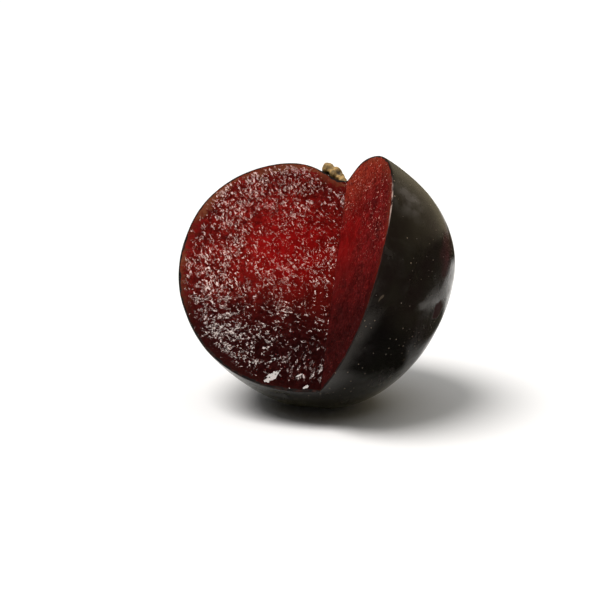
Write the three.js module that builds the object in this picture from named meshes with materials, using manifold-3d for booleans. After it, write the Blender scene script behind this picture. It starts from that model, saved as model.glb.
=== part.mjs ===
// A dark plum with a wedge cut out of it, and the short stub of its stem.
//
// Millimetres, +Z up. The origin lies on the surface that the fruit rests on, under the middle of
// its box, and the notch opens towards -Y and -X. The fruit is shaped in a frame of its own first,
// with +Z running from the blossom end to the stem, and then leaned over and set down.

import * as THREE from 'three';
import { mergeVertices } from 'three/addons/utils/BufferGeometryUtils.js';
import Module from 'manifold-3d';

const wasm = await Module();
wasm.setup();

const degrees = THREE.MathUtils.degToRad;

// The uncut fruit, measured from the middle of its equator. A fullness of 2 is an ellipse, and a
// higher one is squarer. A swell makes that half higher on one side, and lower on the other.
const EQUATOR_RADIUS = 31;
const EQUATOR_SKEW = { share: 0.03, towards: degrees(-135) };
const STEM_HALF = { height: 24, fullness: 2.22, swell: 1.8, towards: degrees(178) };
const BLOSSOM_HALF = { height: 32.4, fullness: 2.24, swell: 0.4, towards: degrees(-60) };
const BLOSSOM_CHEEKS = { swell: 1.4, towards: degrees(57) };
const STEM_CAVITY = { depth: 2.9, radius: 6.3 };
const BLOSSOM_SCAR = { depth: 0.5, radius: 1.6 };

// The seam is a shallow groove from pole to pole, down one side. It fades out towards both ends,
// between these distances from the axis, as shares of the radius.
const SEAM = { depth: 0.5, width: 3, azimuth: degrees(50), fadeEnd: 0.05, fadeStart: 0.3 };

// A swell is nothing at the equator and at the pole. These make it reach its full size between them.
const ONE_SIDED_PEAK = 2.6;
const CHEEK_PEAK = 4;

// The notch: two flat knife cuts that meet in an edge. The edge crosses the equator's plane at
// EDGE.x and EDGE.y, and leans by a slope in x and in y.
const EDGE = { x: 4.1, y: -2.9, slopeX: -0.095, slopeY: 0.105 };
const CUT_AZIMUTHS = { left: degrees(161.6), right: degrees(281.6) };

// How the fruit lies: the stem end leans back and to the right, on a small flat spot.
const LEAN = { back: degrees(33), right: degrees(16.5) };
const FLAT_SPOT_DEPTH = 1;

// The stub of the stem, from a root in the cavity to a swollen tip, as offsets from the root.
const STEM_ROOT_TOWARDS = new THREE.Vector3(1.2, 1.2, 21);
const STEM_KNEE = new THREE.Vector3(-0.4, 0.3, 2.3);
const STEM_TIP = new THREE.Vector3(-4.9, 2.6, 4.2);
const STEM_CLEARANCE = 0.6;
const STEM_RIDGES = { count: 5, share: 0.06 };
const STEM_PROFILE = [
  // radius, share of the length
  [0.5, 0],
  [0.95, 0.05],
  [0.9, 0.25],
  [1.2, 0.45],
  [1.05, 0.6],
  [1.35, 0.8],
  [1.3, 0.94],
  [0.7, 1],
];

const MERIDIANS = 72;
const PARALLELS = 46;
const STEM_SIDES = 15;
const STEM_RINGS = 16;
const REACH = 90; // well past the skin, for the tools that cut it

const skinMaterial = new THREE.MeshStandardMaterial({
  color: 0x1d1a1c,
  roughness: 0.32,
  metalness: 0,
});
const stemMaterial = new THREE.MeshStandardMaterial({
  color: 0x8a7a3c,
  roughness: 0.8,
  metalness: 0,
});

// A bell curve: 1 in the middle, and close to 0 beyond twice its width.
function bell(distance, width) {
  return Math.exp(-((distance / width) ** 2));
}

function seamDepth({ x, y }, radius) {
  const along = Math.cos(SEAM.azimuth) * x + Math.sin(SEAM.azimuth) * y;
  const beside = Math.cos(SEAM.azimuth) * y - Math.sin(SEAM.azimuth) * x;
  const fade = THREE.MathUtils.smoothstep(along, SEAM.fadeEnd, SEAM.fadeStart);
  return SEAM.depth * fade * bell(beside * radius, SEAM.width);
}

// The distance from the fruit's middle to its skin, along a unit direction.
function skinRadius(direction) {
  const { x, y, z } = direction;
  const upper = z > 0;
  const half = upper ? STEM_HALF : BLOSSOM_HALF;
  const hollow = upper ? STEM_CAVITY : BLOSSOM_SCAR;
  const across = Math.hypot(x, y);
  const azimuth = Math.atan2(y, x);

  const skew = EQUATOR_SKEW.share * Math.cos(azimuth - EQUATOR_SKEW.towards);
  const outward = (across / (EQUATOR_RADIUS * (1 + skew))) ** half.fullness;
  const upward = (Math.abs(z) / half.height) ** half.fullness;
  const plain = (outward + upward) ** (-1 / half.fullness);

  const oneSided = ONE_SIDED_PEAK * across * z ** 2 * half.swell * Math.cos(azimuth - half.towards);
  const cheekTurn = Math.cos(2 * (azimuth - BLOSSOM_CHEEKS.towards));
  const cheeks = upper ? 0 : CHEEK_PEAK * across ** 2 * z ** 2 * BLOSSOM_CHEEKS.swell * cheekTurn;
  const dip = hollow.depth * bell(across * plain, hollow.radius);
  return plain + oneSided + cheeks - dip - seamDepth(direction, plain);
}

// A geometry with nothing but merged positions, as a solid that can be cut.
function solidFrom(geometry) {
  const bare = geometry.clone();
  bare.deleteAttribute('normal');
  bare.deleteAttribute('uv');
  const merged = mergeVertices(bare);
  return new wasm.Manifold(
    new wasm.Mesh({
      numProp: 3,
      vertProperties: merged.attributes.position.array,
      triVerts: new Uint32Array(merged.index.array),
    }),
  );
}

function geometryFrom(solid) {
  const { vertProperties, triVerts } = solid.getMesh();
  const geometry = new THREE.BufferGeometry();
  geometry.setAttribute('position', new THREE.BufferAttribute(vertProperties, 3));
  geometry.setIndex(new THREE.BufferAttribute(triVerts, 1));
  const faceted = geometry.toNonIndexed();
  faceted.computeVertexNormals();
  return faceted;
}

// The uncut fruit: a ball whose poles are the stem and the blossom end, with one meridian on the
// seam, pushed out to the skin.
function wholeFruitGeometry() {
  const ball = new THREE.SphereGeometry(1, MERIDIANS, PARALLELS);
  ball.rotateX(Math.PI / 2).rotateZ(SEAM.azimuth);
  const points = ball.attributes.position;
  const direction = new THREE.Vector3();
  for (let i = 0; i < points.count; i += 1) {
    direction.fromBufferAttribute(points, i).normalize();
    direction.multiplyScalar(skinRadius(direction));
    points.setXYZ(i, direction.x, direction.y, direction.z);
  }
  return ball;
}

// The wedge that the two knife cuts take away: a tall prism, sheared so that its corner follows
// the leaning edge.
function notchGeometry() {
  const { left, right } = CUT_AZIMUTHS;
  const outline = new THREE.Shape();
  outline.moveTo(0, 0);
  for (const azimuth of [left, (left + right) / 2, right]) {
    outline.lineTo(REACH * Math.cos(azimuth), REACH * Math.sin(azimuth));
  }
  return new THREE.ExtrudeGeometry(outline, { depth: REACH, bevelEnabled: false })
    .translate(0, 0, -REACH / 2)
    .applyMatrix4(new THREE.Matrix4().makeShear(0, 0, 0, 0, EDGE.slopeX, EDGE.slopeY))
    .translate(EDGE.x, EDGE.y, 0);
}

// The leaning fruit, lowered until the surface it rests on takes off the flat spot.
function restingFruit(lean) {
  const cut = solidFrom(wholeFruitGeometry()).subtract(solidFrom(notchGeometry()));
  const leaning = geometryFrom(cut).applyMatrix4(lean);
  leaning.computeBoundingBox();
  const { min, max } = leaning.boundingBox;
  const setDown = new THREE.Matrix4().makeTranslation(
    -(min.x + max.x) / 2,
    -(min.y + max.y) / 2,
    -(min.z + FLAT_SPOT_DEPTH),
  );
  const table = new THREE.BoxGeometry(REACH, REACH, REACH).translate(0, 0, -REACH / 2);
  const geometry = geometryFrom(solidFrom(leaning.applyMatrix4(setDown)).subtract(solidFrom(table)));
  return { geometry, setDown };
}

// The stub: a ridged, knotty peg, turned upright from its profile and then bent along its curve.
function stemGeometry() {
  const base = STEM_ROOT_TOWARDS.clone().normalize();
  const root = base.clone().multiplyScalar(skinRadius(base) + STEM_CLEARANCE);
  const knee = root.clone().add(STEM_KNEE);
  const tip = root.clone().add(STEM_TIP);
  const curve = new THREE.QuadraticBezierCurve3(root, knee, tip);

  const corners = STEM_PROFILE.map(([radius, share]) => new THREE.Vector2(radius, share));
  const rings = new THREE.SplineCurve(corners).getPoints(STEM_RINGS);
  const profile = [new THREE.Vector2(0, 0), ...rings, new THREE.Vector2(0, 1)];
  const peg = new THREE.LatheGeometry(profile, STEM_SIDES).rotateX(Math.PI / 2);

  const points = peg.attributes.position;
  const across = new THREE.Vector3().crossVectors(STEM_KNEE, STEM_TIP).normalize();
  for (let i = 0; i < points.count; i += 1) {
    const share = THREE.MathUtils.clamp(points.getZ(i), 0, 1);
    const azimuth = Math.atan2(points.getY(i), points.getX(i));
    const ridge = 1 + STEM_RIDGES.share * Math.cos(STEM_RIDGES.count * azimuth);
    const inward = new THREE.Vector3().crossVectors(across, curve.getTangentAt(share));
    const place = curve
      .getPointAt(share)
      .addScaledVector(across, ridge * points.getY(i))
      .addScaledVector(inward, ridge * points.getX(i));
    points.setXYZ(i, place.x, place.y, place.z);
  }
  return geometryFrom(solidFrom(peg));
}

const leanAngles = new THREE.Euler(-LEAN.back, LEAN.right, 0, 'YXZ');
const lean = new THREE.Matrix4().makeRotationFromEuler(leanAngles);
const { geometry: fruitGeometry, setDown } = restingFruit(lean);

const plum = new THREE.Mesh(fruitGeometry, skinMaterial);
plum.name = 'plum';

const stem = new THREE.Mesh(stemGeometry(), stemMaterial);
stem.name = 'stem';
stem.applyMatrix4(new THREE.Matrix4().multiplyMatrices(setDown, lean));

const cutPlum = new THREE.Group();
cutPlum.add(plum, stem);

export default cutPlum;
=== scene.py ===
"""A dark plum with a wedge cut out of it, dressed: waxy skin, wet flesh and the stub of the stem.

The sizes are the source's own, in millimetres, in the fruit's own frame: +Z runs from the blossom
end to the stem, from the middle of the equator. A finished piece is leaned over, set down on the
surface that it rests on, and turned into metres.
"""

import logging
import math
from dataclasses import dataclass, field
from enum import Enum
from functools import reduce
from typing import Any, Sequence

import bpy
import numpy as np
from mathutils import Euler, Matrix, Vector, noise
from mathutils.geometry import delaunay_2d_cdt
from mathutils.kdtree import KDTree


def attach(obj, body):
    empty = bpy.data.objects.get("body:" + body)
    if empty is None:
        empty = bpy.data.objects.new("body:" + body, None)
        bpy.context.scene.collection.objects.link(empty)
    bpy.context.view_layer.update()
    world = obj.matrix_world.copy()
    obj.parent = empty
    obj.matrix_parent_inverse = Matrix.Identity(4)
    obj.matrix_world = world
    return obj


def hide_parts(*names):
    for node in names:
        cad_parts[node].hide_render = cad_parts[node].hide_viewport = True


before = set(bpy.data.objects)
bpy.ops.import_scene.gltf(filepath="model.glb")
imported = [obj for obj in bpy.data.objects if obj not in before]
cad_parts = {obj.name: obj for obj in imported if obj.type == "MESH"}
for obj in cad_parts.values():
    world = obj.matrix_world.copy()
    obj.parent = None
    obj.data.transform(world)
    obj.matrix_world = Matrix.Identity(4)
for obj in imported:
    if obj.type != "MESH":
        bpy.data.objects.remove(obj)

LOG = logging.getLogger("plum")
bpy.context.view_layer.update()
MM = 0.001

Colour = tuple[float, float, float]
Place = tuple[float, float, float]
Span = tuple[float, float]
Inputs = dict[str | int, Any]
Number = "Value | float"

WHITE: Colour = (1.0, 1.0, 1.0)
SEED_SHIFT: Place = (7.31, 3.17, 5.71)


def linear(value: float) -> float:
    """One channel of a screen colour, from 0 to 1, as a shader takes it."""
    return value / 12.92 if value <= 0.04045 else ((value + 0.055) / 1.055) ** 2.4


def srgb(red: int, green: int, blue: int) -> Colour:
    """A screen colour, 0 to 255 in each channel, as the linear colour that a shader takes."""
    return linear(red / 255), linear(green / 255), linear(blue / 255)


def bell(distance: np.ndarray, width: float) -> np.ndarray:
    """A bell curve: 1 in the middle, and close to 0 beyond twice its width."""
    return np.exp(-((distance / width) ** 2))


def smoothstep(value: np.ndarray, start: float, end: float) -> np.ndarray:
    """A soft step, from 0 at start to 1 at end. It falls where end is the lower one."""
    share = np.clip((value - start) / (end - start), 0, 1)
    return share * share * (3 - 2 * share)


def unit(vectors: Any) -> np.ndarray:
    """A vector, or each row of an array, at length 1."""
    array = np.asarray(vectors, float)
    return array / np.linalg.norm(array, axis=-1, keepdims=True)


def perlin(points: np.ndarray, wavelength: float, seed: float) -> np.ndarray:
    """Smooth noise, about -0.7 to 0.7, at each point.

    Args:
        points: One point a row, in millimetres.
        wavelength: The size of its lumps, in millimetres.
        seed: A shift that makes two fields of one wavelength differ.

    Returns:
        One value for each point.
    """
    shift = Vector([seed * share for share in SEED_SHIFT])
    scaled = (points / wavelength).tolist()
    return np.array([noise.noise(Vector(point) + shift) for point in scaled])


def waves(points: np.ndarray, layers: Sequence[Place]) -> np.ndarray:
    """The sum of layers of smooth noise, each given by its height, its wavelength and its seed."""
    return sum(height * perlin(points, *layer) for height, *layer in layers)


class Slot(Enum):
    """The record's material slots."""

    SKIN = "skin"
    FLESH = "flesh"
    STEM = "stem"


class Kind(Enum):
    """The finishes of the cut fruit's own mesh, as the numbers of its materials."""

    SKIN = 0
    LEFT_CUT = 1
    RIGHT_CUT = 2
    RIND = 3


# --- The fruit's shape -----------------------------------------------------------------------


@dataclass(frozen=True)
class Half:
    """One half of the fruit, above or below its equator."""

    height: float
    fullness: float
    swell: float
    towards: float
    hollow_depth: float
    hollow_radius: float


@dataclass(frozen=True)
class FruitShape:
    """The uncut fruit as a distance from its middle, and how it lies."""

    equator_radius: float = 31.0
    equator_skew: float = 0.03
    skew_towards: float = math.radians(-135)
    stem_half: Half = Half(24.0, 2.22, 1.8, math.radians(178), 2.9, 6.3)
    blossom_half: Half = Half(32.4, 2.24, 0.4, math.radians(-60), 0.5, 1.6)
    cheek_swell: float = 1.4
    cheek_towards: float = math.radians(57)
    seam_depth: float = 0.5
    seam_width: float = 3.0
    seam_azimuth: float = math.radians(50)
    seam_fade: Span = (0.05, 0.3)
    one_sided_peak: float = 2.6
    cheek_peak: float = 4.0
    lean_back: float = math.radians(33)
    lean_right: float = math.radians(16.5)
    middle: Place = (0.59073, 0.77738, 32.74212)

    def radius(self, directions: np.ndarray) -> np.ndarray:
        """The distance from the fruit's middle to its skin.

        Args:
            directions: Unit vectors, one a row.

        Returns:
            One distance for each, in millimetres.
        """
        x, y, z = directions.T
        across = np.hypot(x, y)
        azimuth = np.arctan2(y, x)
        skew = self.equator_skew * np.cos(azimuth - self.skew_towards)
        equator = self.equator_radius * (1 + skew)
        found = np.zeros(len(x))
        for half, here in ((self.stem_half, z > 0), (self.blossom_half, z <= 0)):
            outward = (across / equator) ** half.fullness
            upward = (np.abs(z) / half.height) ** half.fullness
            plain = (outward + upward) ** (-1 / half.fullness)
            swell = half.swell * np.cos(azimuth - half.towards)
            swell = self.one_sided_peak * across * z**2 * swell
            dip = half.hollow_depth * bell(across * plain, half.hollow_radius)
            found = np.where(here, plain + swell - dip - self.seam(x, y, plain), found)
        cheeks = self.cheek_swell * np.cos(2 * (azimuth - self.cheek_towards))
        return found + np.where(z > 0, 0, self.cheek_peak * across**2 * z**2 * cheeks)

    def seam(self, x: np.ndarray, y: np.ndarray, plain: np.ndarray) -> np.ndarray:
        """The depth of the groove that runs down one side from pole to pole.

        Args:
            x: The first part of each direction.
            y: The second part of each direction.
            plain: The skin's distance from the middle without the groove.

        Returns:
            One depth for each direction.
        """
        along = np.cos(self.seam_azimuth) * x + np.sin(self.seam_azimuth) * y
        beside = np.cos(self.seam_azimuth) * y - np.sin(self.seam_azimuth) * x
        fade = smoothstep(along, *self.seam_fade)
        return self.seam_depth * fade * bell(beside * plain, self.seam_width)

    @property
    def lean(self) -> Matrix:
        """The turn from the fruit's own frame to the frame it rests in."""
        right = Matrix.Rotation(self.lean_right, 3, "Y")
        return right @ Matrix.Rotation(-self.lean_back, 3, "X")

    def resting(self, points: np.ndarray) -> np.ndarray:
        """Points of the fruit's own frame as they lie when the fruit rests, in millimetres."""
        return points @ np.array(self.lean).T + np.array(self.middle)


@dataclass(frozen=True)
class Notch:
    """The wedge that two flat knife cuts take away. They meet in a straight edge."""

    edge: Span = (4.1, -2.9)
    slope: Span = (-0.095, 0.105)
    right: float = math.radians(-78.4)
    left: float = math.radians(161.6)

    @property
    def start(self) -> np.ndarray:
        """The point where the edge crosses the equator's plane."""
        return np.array((*self.edge, 0.0))

    @property
    def up(self) -> np.ndarray:
        """The direction of the edge, towards the stem."""
        return unit((*self.slope, 1.0))

    def outward(self, azimuths: Any) -> np.ndarray:
        """Unit vectors square to the edge, in the planes that hold it and these azimuths."""
        level = np.stack([np.cos(azimuths), np.sin(azimuths), np.zeros_like(azimuths)], -1)
        return unit(level - (level @ self.up)[..., None] * self.up)


FRUIT = FruitShape()
NOTCH = Notch()


# --- Node trees ------------------------------------------------------------------------------


class Value:
    """A number, a place or a colour in a node tree, and what can be worked out from it."""

    def __init__(self, tree: "NodeTree", socket: Any) -> None:
        """Stands for one output of a node."""
        self.tree, self.socket = tree, socket

    def math(self, operation: str, *others: Number) -> "Value":
        """One sum on this number and others."""
        inputs = dict(enumerate((self, *others)))
        return self.tree.make(0, "ShaderNodeMath", inputs, operation=operation)

    def __add__(self, other: Number) -> "Value":
        """This number and another, added."""
        return self.math("ADD", other)

    def __sub__(self, other: Number) -> "Value":
        """This number less another."""
        return self.math("SUBTRACT", other)

    def __rsub__(self, other: float) -> "Value":
        """Another number less this one."""
        return self.math("MULTIPLY_ADD", -1.0, other)

    def __mul__(self, other: Number) -> "Value":
        """This number times another."""
        return self.math("MULTIPLY", other)

    def __truediv__(self, other: Number) -> "Value":
        """This number divided by another."""
        return self.math("DIVIDE", other)

    def __abs__(self) -> "Value":
        """This number without its sign."""
        return self.math("ABSOLUTE")

    def larger(self, other: Number) -> "Value":
        """The larger of this number and another."""
        return self.math("MAXIMUM", other)

    def fade(self, start: float, end: float, low: float = 0.0, high: float = 1.0) -> "Value":
        """A soft step, from low where this number is start to high where it is end."""
        inputs = {"Value": self, "From Min": start, "From Max": end, "To Min": low, "To Max": high}
        return self.tree.make("Result", "ShaderNodeMapRange", inputs, interpolation_type="SMOOTHSTEP")

    def axis(self, name: str) -> "Value":
        """This place's X, Y or Z."""
        return self.tree.make(name, "ShaderNodeSeparateXYZ", {"Vector": self})

    def near(self, centre: Sequence[float], reach: float) -> "Value":
        """1 where this place is the centre, falling softly to 0 where it is reach away from it."""
        inputs = {0: self, 1: centre}
        return self.tree.make("Value", "ShaderNodeVectorMath", inputs, operation="DISTANCE").fade(reach, 0.0)

    def stretched(self, factors: Sequence[float], turn: Sequence[float] = (0, 0, 0)) -> "Value":
        """This place turned back by Euler angles, and then multiplied by a factor along each axis."""
        inputs = {"Vector": self, "Rotation": turn, "Scale": [1 / factor for factor in factors]}
        return self.tree.make("Vector", "ShaderNodeMapping", inputs, vector_type="TEXTURE")

    def noise(
        self, size: float, detail: float = 2.0, roughness: float = 0.5, bend: float = 0.0
    ) -> "Value":
        """Noise over this place.

        Args:
            size: The size of its lumps, in the place's own units.
            detail: How many layers of finer noise it has.
            roughness: How strong the finer layers are.
            bend: How far its lumps are bent.

        Returns:
            A number from 0 to 1.
        """
        inputs = {"Vector": self, "Scale": 1 / size, "Detail": detail, "Roughness": roughness}
        return self.tree.make("Fac", "ShaderNodeTexNoise", {**inputs, "Distortion": bend})


class NodeTree:
    """One node tree in the making."""

    def __init__(self, tree: bpy.types.NodeTree) -> None:
        """Empties the tree."""
        self.tree = tree
        tree.nodes.clear()

    def add(self, kind: str, inputs: Inputs | None = None, **settings: Any) -> Any:
        """Adds a node.

        Args:
            kind: The node's type.
            inputs: Plain values, outputs or Values for its inputs, by name or by number.
            settings: Its own properties.

        Returns:
            The node.
        """
        node = self.tree.nodes.new(kind)
        for key, value in settings.items():
            setattr(node, key, value)
        for key, value in (inputs or {}).items():
            self.feed(node.inputs[key], value)
        return node

    def make(self, output: str | int, kind: str, inputs: Inputs | None = None, **settings: Any) -> Value:
        """Adds a node as add does, and gives one of its outputs."""
        return Value(self, self.add(kind, inputs, **settings).outputs[output])

    def feed(self, socket: Any, value: Any) -> None:
        """Links an output to a node's input, or sets the input's own value.

        Args:
            socket: The input.
            value: A Value or an output to link, or a plain number, place, colour or material.
        """
        source = value.socket if isinstance(value, Value) else value
        if isinstance(source, bpy.types.NodeSocket):
            self.tree.links.new(source, socket)
        else:
            socket.default_value = (*source, 1.0) if socket.type == "RGBA" else source


class ShaderTree(NodeTree):
    """One material in the making, with a Principled shader."""

    def __init__(self, name: str) -> None:
        """Starts a material with nothing but its shader and its output.

        Args:
            name: The material's name.
        """
        self.material = bpy.data.materials.new(name)
        self.material.use_nodes = True
        super().__init__(self.material.node_tree)
        self.shader = self.add("ShaderNodeBsdfPrincipled")
        self.add("ShaderNodeOutputMaterial", {"Surface": self.shader.outputs["BSDF"]})

    def fruit_place(self) -> Value:
        """The surface's place in the fruit's own frame, worked out from Object coordinates.

        Returns:
            The place, in millimetres.
        """
        back = FRUIT.lean.transposed()
        inputs = {
            "Vector": self.make("Object", "ShaderNodeTexCoord"),
            "Scale": (1 / MM,) * 3,
            "Rotation": back.to_euler("XYZ"),
            "Location": -(back @ Vector(FRUIT.middle)),
        }
        return self.make("Vector", "ShaderNodeMapping", inputs, vector_type="POINT")

    def blend(self, share: Number, first: Any, second: Any, how: str = "MIX") -> Value:
        """Two colours, mixed by a share of the second."""
        inputs = {0: share, 6: first, 7: second}
        return self.make(2, "ShaderNodeMix", inputs, data_type="RGBA", blend_type=how, clamp_factor=True)

    def ramp(self, place: Value, stops: Sequence[tuple[float, Colour]]) -> Value:
        """A colour from a ramp.

        Args:
            place: The place along the ramp, from 0 to 1.
            stops: Places and their colours, in order.

        Returns:
            The colour.
        """
        node = self.add("ShaderNodeValToRGB", {"Fac": place})
        elements = node.color_ramp.elements
        while len(elements) < len(stops):
            elements.new(1.0)
        for element, (position, colour) in zip(elements, stops):
            element.position = position
            element.color = (*colour, 1.0)
        return Value(self, node.outputs["Color"])

    def attribute(self, name: str) -> Value:
        """A number that the mesh carries."""
        return self.make("Fac", "ShaderNodeAttribute", attribute_name=name)

    def bump(self, height: Value, depth: float, normal: Value | None = None) -> Value:
        """A normal from a height of 0 to 1, depth millimetres deep, over another normal."""
        inputs = {"Height": height, "Distance": depth * MM, **({"Normal": normal} if normal else {})}
        return self.make("Normal", "ShaderNodeBump", inputs)

    def finish(self, inputs: Inputs) -> bpy.types.Material:
        """Feeds the shader.

        Args:
            inputs: Values for the shader's own inputs, by name.

        Returns:
            The finished material.
        """
        for key, value in inputs.items():
            self.feed(self.shader.inputs[key], value)
        return self.material


# --- Finishes --------------------------------------------------------------------------------


@dataclass(frozen=True)
class SkinFinish:
    """Dark plum skin under a coat of wax: nearly black, with purple-red blushes, a dusty bloom and fine
    rubs. Its colour also holds painted shade low down and painted reflections in purple on one side.
    """

    dark: Colour = srgb(21, 20, 18)
    olive: Colour = srgb(34, 30, 22)
    # Painted shade: the lower part of the skin is darkened towards this colour, up to a share, between two
    # heights.
    black: Colour = srgb(5, 6, 6)
    underside_shade_heights: Span = (-13.5, -21.0)
    underside_shade_share: float = 0.8
    blush: Colour = srgb(42, 13, 16)
    broad_size: float = 13.0
    mottle_size: float = 1.6
    bloom: Colour = srgb(86, 82, 79)
    bloom_spot: Place = (13.0, -27.5, 6.5)
    bloom_reach: float = 7.0
    bloom_squeeze: Place = (1.0, 0.45, 1.0)
    bloom_turn: Place = (0.3, 0.5, 0.0)
    bloom_size: float = 2.0
    dust_size: float = 7.5
    # Painted reflection: a purple patch on one side of the skin.
    purple: Colour = srgb(84, 34, 42)
    painted_reflection_spot: Place = (24.7, -18.0, 3.7)
    painted_reflection_reach: float = 6.5
    painted_reflection_squeeze: Place = (1.0, 1.0, 0.5)
    painted_reflection_size: float = 3.0
    painted_reflection_ragged: float = 1.6
    # Painted reflection: a smaller, darker purple patch, where the skin is also rougher.
    dark_painted_reflection: Colour = srgb(46, 7, 14)
    dark_reflection_spot: Place = (26.5, -13.5, -9.2)
    dark_reflection_reach: float = 3.8
    dark_reflection_ragged: float = 1.2
    rub: Colour = srgb(120, 104, 84)
    rub_squeeze: Place = (0.16, 1.6, 0.5)
    rub_turn: Place = (0.4, 0.9, 0.3)
    rub_size: float = 1.5
    haze: Colour = srgb(150, 144, 100)
    shine: Colour = (1.0, 0.9, 0.8)
    pore_size: float = 0.35
    pore_depth: float = 0.005
    ripple_size: float = 2.2
    ripple_depth: float = 0.022

    def material(self) -> bpy.types.Material:
        """Builds the material.

        Returns:
            The material.
        """
        tree = ShaderTree("plum_skin")
        place = tree.fruit_place()
        broad = place.noise(self.broad_size, detail=3.0, roughness=0.55)
        mottle = place.noise(self.mottle_size, detail=4.0, roughness=0.6)
        dust = place.noise(self.dust_size, detail=5.0, roughness=0.62, bend=0.6)

        colour = tree.blend(broad.fade(0.35, 0.7), self.dark, self.olive)
        colour = tree.blend(broad.fade(0.62, 0.38, high=0.2), colour, self.blush)
        colour = tree.blend(mottle.fade(0.35, 0.75, high=0.35), colour, self.olive)
        # Painted shade: the skin darkens towards the bottom.
        painted_underside_shade = place.axis("Z").fade(*self.underside_shade_heights, high=self.underside_shade_share)
        colour = tree.blend(painted_underside_shade, colour, self.black)

        smeared = place.stretched(self.bloom_squeeze, self.bloom_turn).noise(self.bloom_size)
        patch = place.near(self.bloom_spot, self.bloom_reach) * smeared.fade(0.28, 0.7, high=0.8)
        dusty = dust.fade(0.48, 0.78) * mottle.fade(0.2, 0.7, high=0.2)
        colour = tree.blend(dusty + patch, colour, self.bloom)

        # Painted reflection: a ragged purple patch round one spot on the skin.
        drawn_out = place.stretched(self.painted_reflection_squeeze)
        painted_reflection_share = drawn_out.near(np.array(self.painted_reflection_spot) * self.painted_reflection_squeeze, self.painted_reflection_reach)
        mottled = drawn_out.noise(self.painted_reflection_size, detail=3.0, roughness=0.6)
        painted_reflection_share = painted_reflection_share + (mottled - 0.5) * self.painted_reflection_ragged
        colour = tree.blend(painted_reflection_share.fade(0.25, 1.0, high=0.55), colour, self.purple)

        # Painted reflection: a darker purple patch round one spot, which also roughens the skin there.
        dark_painted_reflection = place.near(self.dark_reflection_spot, self.dark_reflection_reach) + (mottle - 0.5) * self.dark_reflection_ragged
        dark_painted_reflection = dark_painted_reflection.fade(0.2, 0.62)
        colour = tree.blend(dark_painted_reflection, colour, self.dark_painted_reflection)

        rubbed = place.stretched(self.rub_squeeze, self.rub_turn).noise(self.rub_size)
        colour = tree.blend(rubbed.fade(0.71, 0.77, high=0.35), colour, self.rub)

        roughness = dust.fade(0.4, 0.8, 0.13, 0.34) + mottle.fade(0.3, 0.7, -0.02, 0.04)
        pores = tree.bump(place.noise(self.pore_size, detail=2.0, roughness=0.6), self.pore_depth)
        return tree.finish(
            {
                "Base Color": colour,
                "Roughness": roughness + patch * 0.15 + dark_painted_reflection * 0.6,
                "Normal": tree.bump(place.noise(self.ripple_size), self.ripple_depth, pores),
                "IOR": 1.4,
                "Specular IOR Level": 0.38,
                "Specular Tint": self.shine,
                "Sheen Weight": 0.15,
                "Sheen Roughness": 0.3,
                "Sheen Tint": self.haze,
            }
        )


@dataclass(frozen=True)
class RindFinish:
    """The cut edge of the skin: a thin dark line, with pale stretches that are a painted highlight."""

    dark: Colour = srgb(10, 7, 7)
    brown: Colour = srgb(44, 22, 18)
    brown_size: float = 1.4
    # Painted highlight: pale stretches along the rim near one spot.
    pale: Colour = srgb(206, 182, 172)
    rim_highlight_spot: Place = (8.6, -27.0, 3.0)
    rim_highlight_reach: float = 8.0
    pale_size: float = 1.8

    def material(self) -> bpy.types.Material:
        """Builds the material.

        Returns:
            The material.
        """
        tree = ShaderTree("plum_rind")
        place = tree.fruit_place()
        browned = place.noise(self.brown_size, detail=3.0).fade(0.45, 0.7)
        colour = tree.blend(browned, self.dark, self.brown)
        # Painted highlight: the rim is paled in patches near one spot, where its edge would catch the light.
        painted_rim_highlight = place.noise(self.pale_size).fade(0.36, 0.56, high=0.9)
        painted_rim_highlight = place.near(self.rim_highlight_spot, self.rim_highlight_reach) * painted_rim_highlight
        colour = tree.blend(painted_rim_highlight, colour, self.pale)
        return tree.finish({"Base Color": colour, "Roughness": 0.7, "Specular IOR Level": 0.1})


@dataclass(frozen=True)
class Threads:
    """Broken curly lines of juice on one scale, drawn out in a direction of their own.

    The direction falls by slope degrees. A squeeze below 1 makes the lines longer.
    """

    slope: float
    size: float
    thinnest: float
    squeeze: float = 0.66
    joined: float = 0.3
    widened: float = 0.045
    curliness: float = 1.5
    crossways: float = 1.25
    line_span: Span = (1.0, 0.6)
    gap_size: float = 1.05
    gap_span: Span = (0.6, 0.66)

    def mask(self, place: Value, cut_turn: float, wetness: Value) -> Value:
        """Where the lines are. They are wider and less broken where the flesh is wetter.

        Args:
            place: The place in the fruit's own frame.
            cut_turn: The turn about Z that brings the X axis into the cut.
            wetness: How wet the flesh is, from 0 to 1.

        Returns:
            The share of juice, from 0 to 1.
        """
        slant = (0.0, math.radians(self.slope), cut_turn)
        combed = place.stretched((self.squeeze, 1.0, self.crossways), slant)
        curl = abs(combed.noise(self.size, detail=1.0, roughness=0.5, bend=self.curliness) - 0.5)
        line = (curl / (wetness * self.widened + self.thinnest)).fade(*self.line_span)
        gaps = combed.noise(self.gap_size * self.size, detail=1.0) + wetness * self.joined
        return line * gaps.fade(*self.gap_span)


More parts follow.
